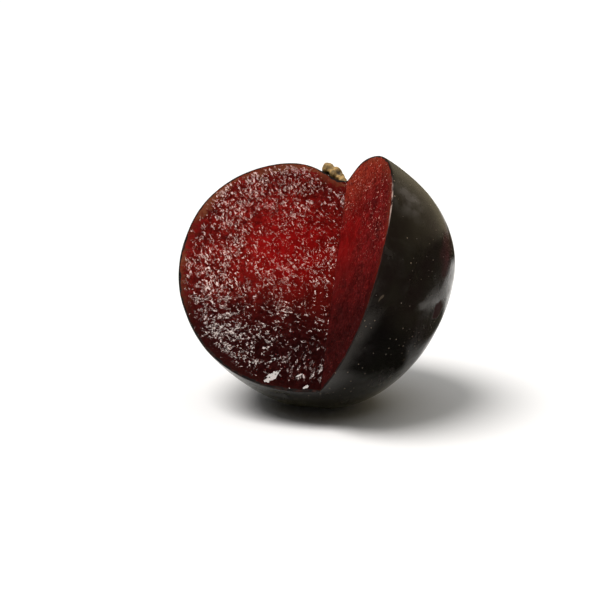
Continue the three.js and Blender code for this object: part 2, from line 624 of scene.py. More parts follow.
@dataclass(frozen=True)
class FleshFinish:
    """Ripe red flesh, freshly cut: translucent, fibrous and wet. Its colour holds painted shade low down and
    near the inner edge, and painted highlights along the juice and in pale specks.
    """

    name: str
    cut_turn: float
    bright: Colour = srgb(130, 14, 15)
    deep: Colour = srgb(100, 19, 17)
    maroon: Colour = srgb(38, 12, 12)
    bright_core: Place = (-6.0, 0.0, 2.0)
    core_reach: float = 17.0
    core_light: float = 0.75
    cloud_size: float = 6.5
    cloud_light: float = 0.7
    # Painted shade: each cut is darkened towards the bottom.
    low_shade_heights: Span = (-4.0, -23.0)
    low_shade_share: float = 0.97
    # Painted shade: darker towards the edge where the two cuts meet.
    edge_shade_across: Span = (-18.0, 2.0)
    edge_shade_factor: float = 0.7
    dapple_size: float = 3.2
    dapple_light: Span = (0.72, 1.08)
    warm: Colour = srgb(134, 46, 30)
    warm_share: float = 0.0
    warm_high: Span = (7.0, 22.0)
    grain_size: float = 0.9
    grain_light: Span = (0.62, 1.3)
    grain_within: Span = (20.0, 13.0)
    # Painted glints: pale specks in the upper part of a cut; faint pale fibres take the same colour.
    glint_and_fibre_pale: Colour = srgb(216, 150, 138)
    glint_and_fibre_share: float = 0.0
    speck_size: float = 0.62
    glint_speck_squeeze: Place = (1.0, 1.0, 1.5)
    fibre_squeeze: Place = (2.2, 2.2, 0.22)
    cluster_size: float = 4.0
    cluster_high: Span = (-9.0, 3.0)
    cluster_within: Span = (17.0, 9.0)
    border: Colour = srgb(112, 62, 42)
    border_share: float = 0.85
    border_depth: Span = (2.4, 0.3)
    border_ragged: float = 5.0
    border_size: float = 11.0
    amber: Colour = srgb(176, 98, 40)
    amber_spot: Place = (7.0, -6.6, -32.4)
    amber_reach: float = 1.9
    # Painted highlight: the flesh is brightened towards this colour under the threads of juice.
    painted_highlight: Colour = srgb(214, 84, 70)
    painted_highlight_share: float = 0.2
    fine: Threads = Threads(45.0, 0.72, 0.028)
    strokes: Threads = Threads(50.0, 0.792, 0.03, 0.52, 0.27)
    strokes_across: Span = (-12.2, -13.8)
    strokes_ragged: float = 14.0
    strokes_size: float = 5.0
    coarse: Threads = Threads(10.0, 0.9, 0.034, joined=0.25)
    coarse_low: Span = (0.36, 0.46)
    coarse_ragged: float = 0.9
    coarse_size: float = 3.0
    drips: Threads = Threads(84.0, 1.08, 0.024)
    drip_spot: Place = (3.3, -4.5, -25.2)
    drip_reach: float = 9.0
    pools: tuple[tuple[Place, float], ...] = (
        ((-3.3, -2.6, -29.9), 1.5),
        ((-4.0, -2.2, -26.2), 0.6),
        ((2.1, -4.3, -28.2), 0.8),
        ((4.1, -5.2, -30.7), 0.6),
    )
    pool_slope: float = -45.0
    pool_squeeze: Place = (0.42, 1.0, 1.0)
    pool_ragged: float = 1.6
    pool_size: float = 0.9
    wet: float = 1.0
    wet_core: float = 0.7
    wet_roughness: float = 0.05
    thread_height: float = 0.045
    scatter: Colour = (1.0, 0.16, 0.12)
    scatter_reach: float = 1.6

    def material(self) -> bpy.types.Material:
        """Builds the material.

        Returns:
            The material.
        """
        tree = ShaderTree(self.name)
        place = tree.fruit_place()
        clouds = place.noise(self.cloud_size, detail=4.0, roughness=0.55, bend=0.3)
        grain = place.noise(self.grain_size, detail=3.0, roughness=0.6)
        core = place.near(self.bright_core, self.core_reach)
        # Painted shade: a share that darkens each cut towards the bottom; it also marks the lower part of
        # the cut for the juice.
        low = place.axis("Z").fade(*self.low_shade_heights, high=self.low_shade_share)

        colour = self.ripe(tree, place, clouds * self.cloud_light + core * self.core_light, low)
        colour = self.fibrous(tree, place, colour, grain)
        colour = tree.blend(place.near(self.amber_spot, self.amber_reach), colour, self.amber)
        ragged = tree.attribute("skin_depth") + (grain + clouds - 1.0) * self.border_ragged
        rim = ragged.fade(*self.border_depth, high=self.border_share)
        rim = rim * place.noise(self.border_size, detail=1.0).fade(0.36, 0.56, 0.25)
        # The border's colour takes the same painted shade low down.
        colour = tree.blend(rim, colour, tree.blend(low, self.border, self.maroon))

        threads = self.threads(tree, place, low)
        # Painted highlight: brighter, pinker flesh under the juice threads, less of it low down.
        painted_highlight = threads * low.fade(0.0, 0.9, self.painted_highlight_share, 0.3 * self.painted_highlight_share)
        juice = threads.larger(self.standing(place))
        normal = tree.bump(juice, self.thread_height)
        return tree.finish(
            {
                "Base Color": tree.blend(painted_highlight, colour, self.painted_highlight),
                "Roughness": 0.6,
                "Normal": normal,
                "IOR": 1.36,
                "Specular IOR Level": 0.0,
                "Subsurface Weight": 0.35,
                "Subsurface Radius": self.scatter,
                "Subsurface Scale": self.scatter_reach * MM,
                "Coat Weight": juice * core.fade(0.15, 0.8, self.wet, self.wet * self.wet_core),
                "Coat Roughness": self.wet_roughness,
                "Coat IOR": 1.56,
                "Coat Normal": normal,
            }
        )

    def ripe(self, tree: ShaderTree, place: Value, light: Value, low: Value) -> Value:
        """The flesh's broad colours: bright in the middle, maroon between its grooves, with painted shade
        low down and near the edge where the cuts meet.

        Args:
            tree: The material's node tree.
            place: The place in the fruit's own frame.
            light: How bright the flesh is, from 0 to 1.
            low: The painted shade, 0 in the upper part of the cut and rising to its full share in the lower.

        Returns:
            The colour.
        """
        colour = tree.ramp(light - 0.12, [(0.0, self.maroon), (0.25, self.deep), (0.8, self.bright)])
        # Painted shade: maroon towards the bottom.
        colour = tree.blend(low, colour, self.maroon)
        # Painted shade near the edge where the cuts meet, times a random dapple of the flesh's own tone.
        edge_shade_and_dapple = place.axis("X").fade(*self.edge_shade_across, 1.0, self.edge_shade_factor)
        dapple = place.noise(self.dapple_size, detail=3.0, roughness=0.6)
        edge_shade_and_dapple = edge_shade_and_dapple * dapple.fade(0.35, 0.6, *self.dapple_light)
        colour = tree.blend(1.0, colour, edge_shade_and_dapple, "MULTIPLY")
        return tree.blend(tree.attribute("relief").fade(0.55, 0.1, high=0.55), colour, self.maroon)

    def fibrous(self, tree: ShaderTree, place: Value, colour: Value, grain: Value) -> Value:
        """The colour with the grain of the flesh, its warmer top, pale specks that are painted glints, and
        pale fibres.

        Args:
            tree: The material's node tree.
            place: The place in the fruit's own frame.
            colour: The colour so far.
            grain: Fine noise from 0 to 1.

        Returns:
            The colour.
        """
        depth, height = tree.attribute("skin_depth"), place.axis("Z")
        warm = height.fade(*self.warm_high, high=self.warm_share) * grain.fade(0.3, 0.6, 0.35, 1.0)
        colour = tree.blend(warm, colour, self.warm)
        grained = grain.fade(0.3, 0.7, *self.grain_light)
        light = tree.blend(depth.fade(*self.grain_within), WHITE, grained)
        colour = tree.blend(1.0, colour, light, "MULTIPLY")
        # Painted glints: pale specks, with faint pale fibres, in clusters near the skin in the upper part of
        # the cut.
        specks = place.stretched(self.glint_speck_squeeze).noise(self.speck_size, detail=1.0)
        specks = specks.fade(0.65, 0.71, high=self.glint_and_fibre_share)
        fibres = place.stretched(self.fibre_squeeze).noise(1.0)
        fibres = fibres.fade(0.6, 0.78, high=0.2 * self.glint_and_fibre_share)
        clusters = place.noise(self.cluster_size).fade(0.38, 0.58, 0.15)
        clusters = clusters * height.fade(*self.cluster_high) * depth.fade(*self.cluster_within)
        return tree.blend(specks.larger(fibres) * clusters, colour, self.glint_and_fibre_pale)

    def threads(self, tree: ShaderTree, place: Value, low: Value) -> Value:
        """Where juice runs on the flesh, in threads that differ from one part of the cut to another.

        Args:
            tree: The material's node tree.
            place: The place in the fruit's own frame.
            low: The painted shade, 0 in the upper part of the cut and rising in the lower; here it marks
                where the cut is low.

        Returns:
            The share of juice, from 0 to 1.
        """
        wetness = tree.attribute("wetness")
        kinds = (self.fine, self.strokes, self.coarse, self.drips)
        fine, strokes, coarse, drips = (kind.mask(place, self.cut_turn, wetness) for kind in kinds)
        outer = (place.noise(self.strokes_size, detail=1.0) - 0.5) * self.strokes_ragged
        outer = (outer + place.axis("X")).fade(*self.strokes_across)
        lower = (place.noise(self.coarse_size, detail=1.0) - 0.5) * self.coarse_ragged
        lower = (lower + low).fade(*self.coarse_low)
        running = place.near(self.drip_spot, self.drip_reach).fade(0.45, 0.55)
        fine = (fine * (1.0 - outer)).larger(strokes * outer) * (1.0 - lower)
        return fine.larger(coarse * lower * (1.0 - running)).larger(drips * running)

    def standing(self, place: Value) -> Value:
        """Small pools of juice, drawn out along a rising slant, with wavy outlines.

        Args:
            place: The place in the fruit's own frame.

        Returns:
            The share of juice, from 0 to 1.
        """
        slant = (0.0, math.radians(self.pool_slope), self.cut_turn)
        back, squeeze = Euler(slant).to_matrix().transposed(), Vector(self.pool_squeeze)
        drawn_out = place.stretched(squeeze, slant)
        pools = [drawn_out.near((back @ Vector(spot)) * squeeze, reach) for spot, reach in self.pools]
        wavy = (place.noise(self.pool_size, detail=1.0) - 0.5) * self.pool_ragged
        return (reduce(Value.larger, pools) + wavy).fade(0.42, 0.5)


@dataclass(frozen=True)
class StemFinish:
    """Dry, woody stalk: olive and tan bark, with painted shade in its creases and dark specks."""

    tan: Colour = srgb(192, 156, 94)
    olive: Colour = srgb(112, 92, 52)
    # Painted shade for the creases; the bark's dark specks take the same colour.
    crease_shade_and_speck: Colour = srgb(38, 28, 18)
    patch_size: float = 1.3
    speck_size: float = 0.22
    bark_depth: float = 0.05

    def material(self) -> bpy.types.Material:
        """Builds the material.

        Returns:
            The material.
        """
        tree = ShaderTree("stem_bark")
        place = tree.fruit_place()
        patches = place.noise(self.patch_size, detail=4.0, roughness=0.6)
        colour = tree.blend(patches.fade(0.35, 0.7), self.olive, self.tan)
        # Painted shade: the bark darkens in its creases, where its relief is low.
        crease_shade = tree.attribute("relief").fade(0.45, 0.05, high=0.9)
        colour = tree.blend(crease_shade, colour, self.crease_shade_and_speck)
        specks = place.noise(self.speck_size, detail=3.0, roughness=0.7)
        colour = tree.blend(specks.fade(0.56, 0.72, high=0.5), colour, self.crease_shade_and_speck)
        normal = tree.bump(specks, self.bark_depth)
        return tree.finish({"Base Color": colour, "Roughness": 0.7, "Normal": normal})


@dataclass(frozen=True)
class PoreFinish:
    """The skin's breathing pores: small, pale, dry dots."""

    dull: Colour = srgb(66, 56, 48)
    pale: Colour = srgb(128, 112, 92)
    pale_size: float = 2.5

    def material(self) -> bpy.types.Material:
        """Builds the material.

        Returns:
            The material.
        """
        tree = ShaderTree("lenticel")
        paled = tree.fruit_place().noise(self.pale_size).fade(0.3, 0.7)
        colour = tree.blend(paled, self.dull, self.pale)
        return tree.finish({"Base Color": colour, "Roughness": 0.6})


@dataclass(frozen=True)
class JuiceFinish:
    """A bead of clear red juice."""

    dark: Colour = srgb(84, 12, 16)
    light: Colour = srgb(120, 18, 20)
    light_size: float = 3.0

    def material(self) -> bpy.types.Material:
        """Builds the material.

        Returns:
            The material.
        """
        tree = ShaderTree("juice_bead")
        colour = tree.blend(tree.fruit_place().noise(self.light_size), self.dark, self.light)
        coat = {"Coat Weight": 1.0, "Coat Roughness": 0.02}
        return tree.finish({"Base Color": colour, "Roughness": 0.05, "IOR": 1.36, **coat})


# --- Meshes ----------------------------------------------------------------------------------


def linked(name: str, data: Any) -> bpy.types.Object:
    """Puts a mesh, a lamp or a camera into the scene.

    Args:
        name: The object's name.
        data: What the object holds.

    Returns:
        The object.
    """
    made = bpy.data.objects.new(name, data)
    bpy.context.scene.collection.objects.link(made)
    return made


def carry(mesh: bpy.types.Mesh, name: str, values: np.ndarray) -> None:
    """Stores one number for each vertex, for a material to read."""
    layer = mesh.attributes.new(name, "FLOAT", "POINT")
    layer.data.foreach_set("value", values.astype(np.float32))


def read(items: Any, name: str, width: int, kind: Any = np.int32) -> np.ndarray:
    """Reads one property of every vertex, edge or face of a mesh.

    Args:
        items: The mesh's vertices, edges or faces.
        name: The property.
        width: How many numbers it has.
        kind: The type of its numbers.

    Returns:
        An array with a row for each item.
    """
    found = np.empty(len(items) * width, kind)
    items.foreach_get(name, found)
    return found.reshape(-1, width)


def between(grid: np.ndarray) -> np.ndarray:
    """The triangles between the rows and the columns of a grid of vertex numbers.

    Args:
        grid: The numbers. Where all of a row or a column is one vertex, it is a pole.

    Returns:
        The triangles, as rows of vertex numbers.
    """
    a, b = grid[:-1, :-1].ravel(), grid[1:, :-1].ravel()
    c, d = grid[1:, 1:].ravel(), grid[:-1, 1:].ravel()
    faces = np.concatenate([np.stack([a, b, c], 1), np.stack([a, c, d], 1)])
    a, b, c = faces.T
    return faces[(a != b) & (b != c) & (c != a)]


def closed_mesh(name: str, points: np.ndarray, faces: np.ndarray) -> bpy.types.Object:
    """Makes one smoothly shaded object with all its faces pointing out.

    Args:
        name: The object's name.
        points: Its vertices as they lie at rest, in millimetres.
        faces: Its triangles, as rows of vertex numbers that all run the same way round.

    Returns:
        The object, in metres.
    """
    a, b, c = (points[corners] for corners in faces.T)
    if np.einsum("ij,ij->i", a, np.cross(b, c)).sum() < 0:
        faces = faces[:, ::-1]
    mesh = bpy.data.meshes.new(name)
    mesh.vertices.add(len(points))
    mesh.vertices.foreach_set("co", (points * MM).astype(np.float32).ravel())
    mesh.loops.add(faces.size)
    mesh.loops.foreach_set("vertex_index", faces.astype(np.int32).ravel())
    mesh.polygons.add(len(faces))
    mesh.polygons.foreach_set("loop_start", np.arange(0, faces.size, 3, dtype=np.int32))
    mesh.update(calc_edges=True)
    mesh.validate()
    mesh.shade_smooth()
    return linked(name, mesh)


def distances(flat: np.ndarray, line: np.ndarray) -> np.ndarray:
    """The distance from each flat place to the nearest of a line's points.

    Args:
        flat: The places.
        line: The line's points.

    Returns:
        One distance for each place.
    """
    tree = KDTree(len(line))
    for number, (x, y) in enumerate(line.tolist()):
        tree.insert((x, y, 0), number)
    tree.balance()
    return np.array([tree.find((x, y, 0))[2] for x, y in flat.tolist()])


@dataclass
class Patchwork:
    """A closed mesh in the making, put together from patches that share their outer vertices."""

    points: np.ndarray = field(default_factory=lambda: np.empty((0, 3)))
    carried: np.ndarray = field(default_factory=lambda: np.empty((0, 3)))
    faces: np.ndarray = field(default_factory=lambda: np.empty((0, 3), int))
    kinds: np.ndarray = field(default_factory=lambda: np.empty(0, int))

    def add_points(
        self, points: np.ndarray, depth: Any = 0.0, relief: Any = 1.0, wetness: Any = 0.0
    ) -> np.ndarray:
        """Adds vertices.

        Args:
            points: Their places, in the fruit's own frame.
            depth: How far below the skin each is.
            relief: Each one's relief, from 0 to 1.
            wetness: How wet each is, from 0 to 1.

        Returns:
            Their numbers.
        """
        numbers = len(self.points) + np.arange(len(points))
        carried = [np.broadcast_to(values, len(points)) for values in (depth, relief, wetness)]
        self.points = np.vstack([self.points, points])
        self.carried = np.vstack([self.carried, np.stack(carried, 1)])
        return numbers

    def add_faces(self, faces: np.ndarray, kinds: Any) -> None:
        """Adds triangles with the numbers of their materials."""
        self.faces = np.vstack([self.faces, faces])
        self.kinds = np.append(self.kinds, np.broadcast_to(kinds, len(faces)))


@dataclass(frozen=True)
class Pulp:
    """The relief of one cut face: what the knife and the fibres leave, in millimetres.

    Places on the cut are measured outwards from the edge where the cuts meet, and up along it.
    The fibres leave short curly grooves, its worms, in a finer grain and broad waves.
    """

    seed: int
    spacing: float = 0.25
    worm_depth: float = 0.07
    worm_size: float = 0.8
    worm_span: Span = (-0.1, 0.35)
    worm_middle: float = 0.3
    worm_bend: float = 1.6
    bend_size: float = 3.0
    stretch: float = 1.5
    wave_depth: float = 0.16
    wave_size: float = 8.0
    grain_depth: float = 0.03
    grain_size: float = 2.4
    rough_middle: float = 0.5
    rough_vary: float = 1.1
    rough_size: float = 5.0
    rough_outside: float = 0.6
    rough_depth: float = 7.0
    rough_reach: float = 6.0
    rough_limits: Span = (0.1, 1.4)
    settle: Span = (0.1, 3.0)
    wet_middle: float = 0.4
    wet_outside: float = 0.21
    outside: Span = (13.0, 27.0)
    wander: float = 5.0
    wander_size: float = 6.0
    wet_spot: float = 0.08
    spot: Span = (9.5, 5.5)
    spot_reach: float = 5.5
    wet_top: float = 0.24
    top: Span = (10.0, 19.0)
    top_across: Span = (4.0, 12.0)
    wet_low: float = 0.25
    bottom: Span = (-8.0, -15.0)
    bottom_across: Span = (17.5, 22.5)
    wet_vary: tuple[Span, ...] = ((0.32, 7.0), (0.2, 2.5))
    dry_border: Span = (0.2, 3.8)
    dry_wander: float = 0.2
    dry_top: float = 1.6

    def noise(self, flat: np.ndarray, wavelength: float, number: int) -> np.ndarray:
        """One of the cut's own fields of smooth noise.

        Args:
            flat: Places on the cut.
            wavelength: The size of its lumps.
            number: Which of the fields.

        Returns:
            One value for each place.
        """
        level = np.full(len(flat), float(self.seed))
        return perlin(np.column_stack([flat, level]), wavelength, self.seed + number)

    def hollows(self, flat: np.ndarray, depth: np.ndarray) -> tuple[np.ndarray, np.ndarray]:
        """How far the flesh lies below the flat cut.

        Args:
            flat: Places on the cut.
            depth: Their distances from the skin.

        Returns:
            The depths, and the same relief without its broad waves, from 0 to 1 where it is deep.
        """
        bends = [self.noise(flat, self.bend_size, number) for number in (1, 2)]
        bent = flat + self.worm_bend * np.column_stack(bends)
        lengthwise = np.column_stack([bent, np.full(len(bent), float(self.seed))])
        lengthwise = lengthwise * np.array((1.0, 1 / self.stretch, 1.0))
        worms = smoothstep(perlin(lengthwise, self.worm_size, self.seed + 3), *self.worm_span)
        grain = self.noise(bent, self.grain_size, 4)
        broad = self.noise(flat, self.wave_size, 5)
        strength = self.rough_middle + self.rough_vary * self.noise(flat, self.rough_size, 6)
        strength = strength + self.rough_outside * bell(depth - self.rough_depth, self.rough_reach)
        strength = np.clip(strength, *self.rough_limits)
        rough = self.worm_depth * strength * worms + self.grain_depth * grain
        hollows = smoothstep(depth, *self.settle) * (rough + self.wave_depth * broad)
        return hollows, 0.5 + 0.5 * (worms - self.worm_middle) * strength

    def wetness(self, flat: np.ndarray, depth: np.ndarray) -> np.ndarray:
        """How wet the cut is.

        Args:
            flat: Places on the cut.
            depth: Their distances from the skin.

        Returns:
            One value for each place, from 0 to 1.
        """
        x, y = flat.T
        wander = self.wander * self.noise(flat, self.wander_size, 9)
        over = smoothstep(y, *self.top) * smoothstep(x, *self.top_across)
        under = smoothstep(y, *self.bottom) * smoothstep(x, *self.bottom_across)
        wet = self.wet_middle + self.wet_outside * smoothstep(x + wander, *self.outside)
        wet = wet + self.wet_spot * bell(np.hypot(x - self.spot[0], y - self.spot[1]), self.spot_reach)
        wet = wet + self.wet_top * over + self.wet_low * under
        for number, (share, wavelength) in enumerate(self.wet_vary, 7):
            wet = wet + share * self.noise(flat, wavelength, number)
        depth = depth + self.dry_wander * wander + self.dry_top * over
        return np.clip(wet, 0, 1) * smoothstep(depth, *self.dry_border)


@dataclass(frozen=True)
class CutFruit:
    """The fruit itself, as one closed mesh: its skin, the skin's cut rim, and two faces of flesh.

    The skin's columns lie rim_steps from each cut, and then evenly. Its lip is how far the first
    two of them draw in. The rind is the skin's own thickness on a cut, where it stands out of the
    cut by rind_step, and rind_ends of its vertices are left out at each end. Waves and dents are
    layers of noise: height, wavelength and seed.
    """

    columns: int = 176
    rows: int = 198
    rim_steps: tuple[float, ...] = (0.0, 0.14, 0.4, 0.8)
    typical_reach: float = 30.0
    farthest_reach: float = 60.0
    halvings: int = 40
    dents: tuple[Place, ...] = ((0.1, 9.0, 1.0), (0.02, 1.8, 2.0))
    lip: Span = (0.1, 0.03)
    edge_spacing: float = 0.3
    edge_waves: tuple[Place, ...] = ((0.12, 6.0, 5.0), (0.05, 1.5, 6.0))
    edge_depth: float = 9.0
    edge_relief: float = 0.4
    edge_wetness: float = 0.3
    edge_settle: float = 0.9
    rind: float = 0.4
    rind_vary: float = 0.26
    rind_waves: tuple[Place, ...] = ((0.26, 1.1, 9.0), (0.26, 5.0, 10.0))
    rind_relief: float = 0.5
    rind_step: float = 0.07
    rind_ends: int = 4
    rind_gap: float = 0.4
    edge_gap: float = 0.7
    jitter: float = 0.22
    flat_softness: float = 0.12
    left: Pulp = Pulp(3)
    right: Pulp = Pulp(
        11,
        spacing=0.28,
        worm_depth=0.05,
        stretch=1.3,
        wet_middle=0.08,
        wet_outside=0.3,
        outside=(18.0, 25.0),
        wander=0.0,
        wet_spot=0.0,
        wet_top=0.0,
        wet_low=0.0,
        dry_border=(0.2, 4.2),
    )

    def reach(self, directions: np.ndarray) -> np.ndarray:
        """How far the skin is from the middle of the edge.

        Args:
            directions: Unit vectors, one a row.

        Returns:
            One distance for each.
        """
        low, high = np.zeros(len(directions)), np.full(len(directions), self.farthest_reach)
        for _ in range(self.halvings):
            middle = (low + high) / 2
            point = NOTCH.start + middle[:, None] * directions
            distance = np.linalg.norm(point, axis=1)
            inside = distance < FRUIT.radius(point / distance[:, None])
            low, high = np.where(inside, middle, low), np.where(inside, high, middle)
        point = NOTCH.start + low[:, None] * directions
        return low + waves(point, self.dents)

    def azimuths(self) -> np.ndarray:
        """The azimuths of the skin's columns, closer together beside each cut.

        Returns:
            The azimuths, from the right cut round to the left one.
        """
        beside = np.array(self.rim_steps) / self.typical_reach
        first, last = NOTCH.right + beside, (NOTCH.left - beside)[::-1]
        between_cuts = np.linspace(first[-1], last[0], self.columns - 2 * len(beside) + 2)
        return np.concatenate([first[:-1], between_cuts, last[1:]])

    def skin(self, fruit: Patchwork) -> np.ndarray:
        """Builds the skin.

        Args:
            fruit: The mesh in the making.

        Returns:
            The numbers of its vertices: a row for each column, from the blossom end to the stem.
        """
        azimuths = self.azimuths()
        rises = np.linspace(-math.pi / 2, math.pi / 2, self.rows)[1:-1]
        level = NOTCH.outward(azimuths)
        ways = np.cos(rises)[None, :, None] * level[:, None, :]
        ways = ways + np.sin(rises)[None, :, None] * NOTCH.up
        ways = np.concatenate([[-NOTCH.up], ways.reshape(-1, 3), [NOTCH.up]])
        reach = self.reach(ways)
        inner = reach[1:-1].reshape(len(azimuths), len(rises))
        for number, drop in enumerate(self.lip):
            inner[[number, -1 - number]] -= drop
        numbers = fruit.add_points(NOTCH.start + reach[:, None] * ways)
        inner = numbers[1:-1].reshape(len(azimuths), len(rises))
        poles = np.full((2, len(azimuths), 1), numbers[[0, -1]][:, None, None])
        grid = np.hstack([poles[0], inner, poles[1]])
        fruit.add_faces(between(grid), Kind.SKIN.value)
        return grid

    def edge(self, fruit: Patchwork) -> np.ndarray:
        """Adds the vertices of the edge where the cuts meet, between the skin's two poles.

        Args:
            fruit: The mesh in the making, with its skin.

        Returns:
            Their numbers, from the blossom end to the stem.
        """
        low, high = fruit.points[0], fruit.points[-1]
        length = np.linalg.norm(high - low)
        steps = np.linspace(0, 1, round(length / self.edge_spacing) + 1)[1:-1]
        points = low + steps[:, None] * (high - low)
        away = -unit(NOTCH.outward(np.array((NOTCH.right, NOTCH.left))).sum(0))
        points = points + waves(points, self.edge_waves)[:, None] * away
        return fruit.add_points(points, self.edge_depth, self.edge_relief, self.edge_wetness)

    def scattered(self, pulp: Pulp, border: np.ndarray) -> np.ndarray:
        """Places spread evenly but not regularly over a cut.

        Args:
            pulp: The cut's own relief.
            border: The cut's closed outline.

        Returns:
            The places that are inside the outline.
        """
        rng = np.random.default_rng(pulp.seed)
        low, high = border.min(0), border.max(0)
        x = np.arange(low[0], high[0], pulp.spacing)
        y = np.arange(low[1], high[1], pulp.spacing * math.sqrt(3) / 2)
        grid_x, grid_y = np.meshgrid(x, y)
        grid_x = grid_x + (np.arange(len(y))[:, None] % 2) * pulp.spacing / 2
        flat = np.stack([grid_x.ravel(), grid_y.ravel()], 1)
        flat = flat + rng.uniform(-self.jitter, self.jitter, flat.shape) * pulp.spacing
        inside = np.zeros(len(flat), bool)
        for (x0, y0), (x1, y1) in zip(border, np.roll(border, -1, axis=0)):
            if y0 == y1:
                continue
            crosses = (flat[:, 1] < y0) != (flat[:, 1] < y1)
            inside ^= crosses & (flat[:, 0] < x0 + (flat[:, 1] - y0) * (x1 - x0) / (y1 - y0))
        return flat[inside]

    def cut(self, fruit: Patchwork, side: Kind, rim: np.ndarray, edge: np.ndarray) -> None:
        """Builds one cut face: a strip of cut skin round the outside, and flesh within.

        Args:
            fruit: The mesh in the making, with its skin and its edge.
            side: Which of the two cuts.
            rim: The skin's vertices along the cut, from the blossom end to the stem.
            edge: The vertices of the straight edge, from the blossom end to the stem.
        """
        on_left = side is Kind.LEFT_CUT
        pulp = self.left if on_left else self.right
        out, up = NOTCH.outward(NOTCH.left if on_left else NOTCH.right), NOTCH.up
        into = np.cross(out, up) if on_left else np.cross(up, out)

        def flatten(points: np.ndarray) -> np.ndarray:
            """Places on the cut, outwards from the edge and up along it."""
            return np.stack([(points - NOTCH.start) @ out, (points - NOTCH.start) @ up], 1)

        def sunk(flat: np.ndarray, hollows: Any) -> np.ndarray:
            """Places on the cut, sunk into the flesh."""
            depth = np.broadcast_to(hollows, len(flat))[:, None]
            return NOTCH.start + flat[:, :1] * out + flat[:, 1:] * up + depth * into

        rim_flat, edge_flat = flatten(fruit.points[rim]), flatten(fruit.points[edge])
        border = np.concatenate([rim_flat, edge_flat[::-1]])
        tangent = np.gradient(rim_flat, axis=0)
        inward = unit(np.stack([-tangent[:, 1], tangent[:, 0]], 1))
        width = self.rind + waves(fruit.points[rim], self.rind_waves)
        lining = rim_flat + width[:, None] * inward
        lining = lining[self.rind_ends : -self.rind_ends]

        flat = self.scattered(pulp, border)
        depth = distances(flat, np.concatenate([rim_flat, (rim_flat[1:] + rim_flat[:-1]) / 2]))
        from_edge = distances(flat, edge_flat)
        clear = depth > self.rind + self.rind_vary + self.rind_gap * pulp.spacing
        clear &= from_edge > self.edge_gap * pulp.spacing
        flat, depth, from_edge = flat[clear], depth[clear], from_edge[clear]
        hollows, relief = pulp.hollows(flat, depth)
        hollows = smoothstep(from_edge, 0.0, self.edge_settle) * hollows
        lined = fruit.add_points(sunk(lining, -self.rind_step), self.rind, self.rind_relief)
        middle = fruit.add_points(sunk(flat, hollows), depth, relief, pulp.wetness(flat, depth))

        order = np.concatenate([rim, edge[::-1], lined, middle])
        places = np.concatenate([border, lining, flat])
        n_border, n_lined = len(border), len(lined)
        links = [(k, (k + 1) % n_border) for k in range(n_border)]
        links += [(n_border + k, n_border + k + 1) for k in range(n_lined - 1)]
        links += [(n_border, n_border - 1), (n_border + n_lined - 1, len(rim))]
        flat_points = [Vector(place) for place in places.tolist()]
        made = delaunay_2d_cdt(flat_points, links, [list(range(n_border))], 1, 1e-7)
        triangles, sources = np.array(made[2]), np.array([source[0] for source in made[3]])
        triangles = order[sources[triangles]]
        a, b, c = (fruit.points[corners] for corners in triangles.T)
        turned = np.cross(b - a, c - a) @ into > 0
        triangles[turned] = triangles[turned][:, ::-1]
        on_rim = np.isin(triangles, rim).any(1)
        fruit.add_faces(triangles, np.where(on_rim, Kind.RIND.value, side.value))

    def build(self, finishes: dict[Kind, Any]) -> bpy.types.Object:
        """Builds and dresses the fruit.

        Args:
            finishes: A finish for each kind of surface.

        Returns:
            The object.
        """
        fruit = Patchwork()
        grid = self.skin(fruit)
        edge = self.edge(fruit)
        self.cut(fruit, Kind.LEFT_CUT, grid[-1], edge)
        self.cut(fruit, Kind.RIGHT_CUT, grid[0], edge)
        points = FRUIT.resting(fruit.points)
        rise = points[:, 2]
        points[:, 2] = (rise + np.hypot(rise, self.flat_softness)) / 2
        made = closed_mesh("plum_fruit", points, fruit.faces)
        mesh = made.data
        for kind in Kind:
            mesh.materials.append(finishes[kind].material())
        mesh.polygons.foreach_set("material_index", fruit.kinds.astype(np.int32))
        for name, values in zip(("skin_depth", "relief", "wetness"), fruit.carried.T):
            carry(mesh, name, values)
        corners = np.zeros(len(mesh.vertices), bool)
        corners[np.concatenate([grid[0], grid[-1], edge])] = True
        sharp = corners[read(mesh.edges, "vertices", 2)].all(1)
        mesh.attributes.new("sharp_edge", "BOOLEAN", "EDGE").data.foreach_set("value", sharp)
        return made


